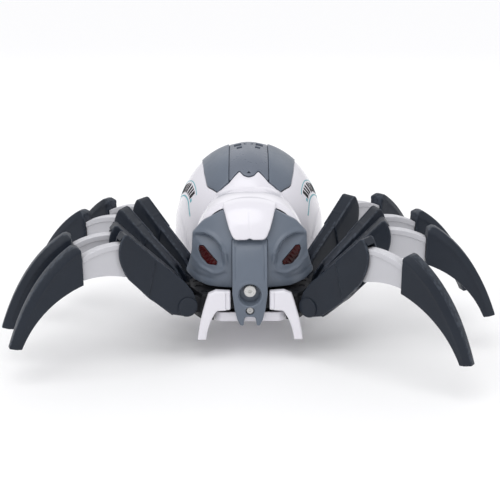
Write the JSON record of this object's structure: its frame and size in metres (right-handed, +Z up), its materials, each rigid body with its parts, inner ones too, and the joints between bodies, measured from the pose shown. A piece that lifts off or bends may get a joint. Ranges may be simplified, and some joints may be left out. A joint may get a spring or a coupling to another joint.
{
  "type": "spider robot toy",
  "caption": "Wheeled spider robot with an egg-shaped abdomen, domed thorax, masked face with a mist nozzle, and jointed legs that swing and lift.",
  "frame": {"origin": "on the floor under the middle of the whole robot", "axes": "-Y is the way the robot faces, +X is its left side, +Z is up"},
  "size_m": [0.3218, 0.2715, 0.1149],
  "materials": {
    "white_shell": "glossy injection-moulded white",
    "blue_gray_shell": "satin gloss blue-gray",
    "smoked_window": "smoked, slightly clear",
    "silver_plastic": "silver-white paint",
    "steel": "plated screw head",
    "red_lens": "dark red faceted lens",
    "black_chassis": "fine matt black",
    "slate_plastic": "dark slate, soft sheen",
    "silver_tibia": "silver-gray paint",
    "battery": "wrapped cells",
    "board": "solder-masked board",
    "tank": "clear tank",
    "wheel_rubber": "black tread"
  },
  "bodies": {
    "robot_body": {"abdomen_upper_shell": "white_shell", "abdomen_rear_panel": "white_shell", "abdomen_lower_hull": "white_shell", "top_window": "smoked_window", "fender_left": "blue_gray_shell", "fender_right": "blue_gray_shell", "tail_strip": "slate_plastic", "thorax_shell": "white_shell", "face_mask": "blue_gray_shell", "nose_housing": "blue_gray_shell", "mist_nozzle": "silver_plastic", "nose_screw": "steel", "eye_lens_left": "red_lens", "eye_lens_right": "red_lens", "fang_left": "white_shell", "fang_right": "white_shell", "thorax_chassis": "black_chassis", "drive_gearbox": "black_chassis", "battery_pack": "battery", "battery_door": "white_shell", "circuit_board": "board", "water_tank": "tank"},
    "gait_link_left": {"gait_link_left": "slate_plastic"},
    "gait_link_right": {"gait_link_right": "slate_plastic"},
    "drive_wheel_left": {"drive_wheel_left": "wheel_rubber"},
    "drive_wheel_right": {"drive_wheel_right": "wheel_rubber"},
    "front_roller": {"front_roller": "wheel_rubber"},
    "power_switch": {"power_switch": "black_chassis"},
    "hip_left_1": {"hip_arm_left_1": "black_chassis"},
    "femur_left_1": {"femur_left_1": "slate_plastic"},
    "lower_leg_left_1": {"tibia_left_1": "silver_tibia", "claw_left_1": "slate_plastic"},
    "hip_left_2": {"hip_arm_left_2": "black_chassis"},
    "femur_left_2": {"femur_left_2": "slate_plastic"},
    "lower_leg_left_2": {"tibia_left_2": "silver_tibia", "claw_left_2": "slate_plastic"},
    "hip_left_3": {"hip_arm_left_3": "black_chassis"},
    "femur_left_3": {"femur_left_3": "slate_plastic"},
    "lower_leg_left_3": {"tibia_left_3": "silver_tibia", "claw_left_3": "slate_plastic"},
    "hip_left_4": {"hip_arm_left_4": "black_chassis"},
    "femur_left_4": {"femur_left_4": "slate_plastic"},
    "lower_leg_left_4": {"tibia_left_4": "silver_tibia", "claw_left_4": "slate_plastic"},
    "hip_right_1": {"hip_arm_right_1": "black_chassis"},
    "femur_right_1": {"femur_right_1": "slate_plastic"},
    "lower_leg_right_1": {"tibia_right_1": "silver_tibia", "claw_right_1": "slate_plastic"},
    "hip_right_2": {"hip_arm_right_2": "black_chassis"},
    "femur_right_2": {"femur_right_2": "slate_plastic"},
    "lower_leg_right_2": {"tibia_right_2": "silver_tibia", "claw_right_2": "slate_plastic"},
    "hip_right_3": {"hip_arm_right_3": "black_chassis"},
    "femur_right_3": {"femur_right_3": "slate_plastic"},
    "lower_leg_right_3": {"tibia_right_3": "silver_tibia", "claw_right_3": "slate_plastic"},
    "hip_right_4": {"hip_arm_right_4": "black_chassis"},
    "femur_right_4": {"femur_right_4": "slate_plastic"},
    "lower_leg_right_4": {"tibia_right_4": "silver_tibia", "claw_right_4": "slate_plastic"}
  },
  "joints": [
    {"name": "gait_drive", "type": "slide", "parent": "robot_body", "child": "gait_link_left", "axis": [0, 1, 0], "range_m": [-0.0012, 0.0012]},
    {"name": "gait_slide_right", "type": "slide", "parent": "robot_body", "child": "gait_link_right", "axis": [0, 1, 0], "range_m": [-0.0012, 0.0012]},
    {"name": "swing_left_1", "type": "hinge", "parent": "robot_body", "child": "hip_left_1", "pos_m": [0.029, -0.0558, 0.0364], "axis": [0, 0, 1], "range_deg": [-8.64, 8.64]},
    {"name": "lift_left_1", "type": "hinge", "parent": "hip_left_1", "child": "femur_left_1", "pos_m": [0.03938, -0.06362, 0.0364], "axis": [-0.6018, -0.7986, 0], "range_deg": [0, 14]},
    {"name": "knee_left_1", "type": "hinge", "parent": "femur_left_1", "child": "lower_leg_left_1", "pos_m": [0.06733, -0.08469, 0.0724], "axis": [-0.6018, -0.7986, 0], "range_deg": [-14, 0]},
    {"name": "swing_left_2", "type": "hinge", "parent": "robot_body", "child": "hip_left_2", "pos_m": [0.0335, -0.0453, 0.0364], "axis": [0, 0, 1], "range_deg": [-8.64, 8.64]},
    {"name": "lift_left_2", "type": "hinge", "parent": "hip_left_2", "child": "femur_left_2", "pos_m": [0.0465, -0.04553, 0.0364], "axis": [-0.0175, -0.9998, 0], "range_deg": [0, 14]},
    {"name": "knee_left_2", "type": "hinge", "parent": "femur_left_2", "child": "lower_leg_left_2", "pos_m": [0.08149, -0.04614, 0.0724], "axis": [-0.0175, -0.9998, 0], "range_deg": [-14, 0]},
    {"name": "swing_left_3", "type": "hinge", "parent": "robot_body", "child": "hip_left_3", "pos_m": [0.035, -0.0353, 0.0364], "axis": [0, 0, 1], "range_deg": [-8.64, 8.64]},
    {"name": "lift_left_3", "type": "hinge", "parent": "hip_left_3", "child": "femur_left_3", "pos_m": [0.04729, -0.03107, 0.0364], "axis": [0.3256, -0.9455, 0], "range_deg": [0, 14]},
    {"name": "knee_left_3", "type": "hinge", "parent": "femur_left_3", "child": "lower_leg_left_3", "pos_m": [0.08038, -0.01967, 0.0724], "axis": [0.3256, -0.9455, 0], "range_deg": [-14, 0]},
    {"name": "swing_left_4", "type": "hinge", "parent": "robot_body", "child": "hip_left_4", "pos_m": [0.0295, -0.0203, 0.0364], "axis": [0, 0, 1], "range_deg": [-8.64, 8.64]},
    {"name": "lift_left_4", "type": "hinge", "parent": "hip_left_4", "child": "femur_left_4", "pos_m": [0.03931, -0.01177, 0.0364], "axis": [0.6561, -0.7547, 0], "range_deg": [0, 14]},
    {"name": "knee_left_4", "type": "hinge", "parent": "femur_left_4", "child": "lower_leg_left_4", "pos_m": [0.06573, 0.01119, 0.0724], "axis": [0.6561, -0.7547, 0], "range_deg": [-14, 0]},
    {"name": "swing_right_1", "type": "hinge", "parent": "robot_body", "child": "hip_right_1", "pos_m": [-0.03, -0.0558, 0.0364], "axis": [0, 0, 1], "range_deg": [-8.64, 8.64]},
    {"name": "lift_right_1", "type": "hinge", "parent": "hip_right_1", "child": "femur_right_1", "pos_m": [-0.04214, -0.06046, 0.0364], "axis": [-0.3584, 0.9336, 0], "range_deg": [0, 14]},
    {"name": "knee_right_1", "type": "hinge", "parent": "femur_right_1", "child": "lower_leg_right_1", "pos_m": [-0.07481, -0.073, 0.0724], "axis": [-0.3584, 0.9336, 0], "range_deg": [-14, 0]},
    {"name": "swing_right_2", "type": "hinge", "parent": "robot_body", "child": "hip_right_2", "pos_m": [-0.0345, -0.0453, 0.0364], "axis": [0, 0, 1], "range_deg": [-8.64, 8.64]},
    {"name": "lift_right_2", "type": "hinge", "parent": "hip_right_2", "child": "femur_right_2", "pos_m": [-0.04734, -0.04733, 0.0364], "axis": [-0.1564, 0.9877, 0], "range_deg": [0, 14]},
    {"name": "knee_right_2", "type": "hinge", "parent": "femur_right_2", "child": "lower_leg_right_2", "pos_m": [-0.08191, -0.05281, 0.0724], "axis": [-0.1564, 0.9877, 0], "range_deg": [-14, 0]},
    {"name": "swing_right_3", "type": "hinge", "parent": "robot_body", "child": "hip_right_3", "pos_m": [-0.036, -0.0353, 0.0364], "axis": [0, 0, 1], "range_deg": [-8.64, 8.64]},
    {"name": "lift_right_3", "type": "hinge", "parent": "hip_right_3", "child": "femur_right_3", "pos_m": [-0.04805, -0.03043, 0.0364], "axis": [0.3746, 0.9272, 0], "range_deg": [0, 14]},
    {"name": "knee_right_3", "type": "hinge", "parent": "femur_right_3", "child": "lower_leg_right_3", "pos_m": [-0.0805, -0.01732, 0.0724], "axis": [0.3746, 0.9272, 0], "range_deg": [-14, 0]},
    {"name": "swing_right_4", "type": "hinge", "parent": "robot_body", "child": "hip_right_4", "pos_m": [-0.0305, -0.0203, 0.0364], "axis": [0, 0, 1], "range_deg": [-8.64, 8.64]},
    {"name": "lift_right_4", "type": "hinge", "parent": "hip_right_4", "child": "femur_right_4", "pos_m": [-0.04128, -0.01303, 0.0364], "axis": [0.5592, 0.829, 0], "range_deg": [0, 14]},
    {"name": "knee_right_4", "type": "hinge", "parent": "femur_right_4", "child": "lower_leg_right_4", "pos_m": [-0.07029, 0.00654, 0.0724], "axis": [0.5592, 0.829, 0], "range_deg": [-14, 0]},
    {"name": "drive_wheel_left_spin", "type": "hinge", "parent": "robot_body", "child": "drive_wheel_left", "pos_m": [0.0265, 0.0522, 0.013], "axis": [1, 0, 0], "continuous": true},
    {"name": "drive_wheel_right_spin", "type": "hinge", "parent": "robot_body", "child": "drive_wheel_right", "pos_m": [-0.0275, 0.0522, 0.013], "axis": [1, 0, 0], "continuous": true},
    {"name": "front_roller_spin", "type": "hinge", "parent": "robot_body", "child": "front_roller", "pos_m": [-0.0005, 0.0222, 0.007], "axis": [1, 0, 0], "continuous": true},
    {"name": "power_switch_slide", "type": "slide", "parent": "robot_body", "child": "power_switch", "axis": [1, 0, 0], "range_m": [0, 0.004]}
  ],
  "couplings": [
    {"joint": "gait_slide_right", "follows": "gait_drive", "ratio": -1},
    {"joint": "swing_left_1", "follows": "gait_drive", "rad_per_m": -125},
    {"joint": "knee_left_1", "follows": "lift_left_1", "ratio": -1},
    {"joint": "swing_left_2", "follows": "gait_drive", "rad_per_m": -125},
    {"joint": "knee_left_2", "follows": "lift_left_2", "ratio": -1},
    {"joint": "swing_left_3", "follows": "gait_drive", "rad_per_m": -125},
    {"joint": "lift_left_3", "follows": "lift_left_1", "ratio": 1},
    {"joint": "knee_left_3", "follows": "lift_left_1", "ratio": -1},
    {"joint": "swing_left_4", "follows": "gait_drive", "rad_per_m": -125},
    {"joint": "lift_left_4", "follows": "lift_left_2", "ratio": 1},
    {"joint": "knee_left_4", "follows": "lift_left_2", "ratio": -1},
    {"joint": "swing_right_1", "follows": "gait_drive", "rad_per_m": -125},
    {"joint": "lift_right_1", "follows": "lift_left_2", "ratio": 1},
    {"joint": "knee_right_1", "follows": "lift_left_2", "ratio": -1},
    {"joint": "swing_right_2", "follows": "gait_drive", "rad_per_m": -125},
    {"joint": "lift_right_2", "follows": "lift_left_1", "ratio": 1},
    {"joint": "knee_right_2", "follows": "lift_left_1", "ratio": -1},
    {"joint": "swing_right_3", "follows": "gait_drive", "rad_per_m": -125},
    {"joint": "lift_right_3", "follows": "lift_left_2", "ratio": 1},
    {"joint": "knee_right_3", "follows": "lift_left_2", "ratio": -1},
    {"joint": "swing_right_4", "follows": "gait_drive", "rad_per_m": -125},
    {"joint": "lift_right_4", "follows": "lift_left_1", "ratio": 1},
    {"joint": "knee_right_4", "follows": "lift_left_1", "ratio": -1}
  ]
}
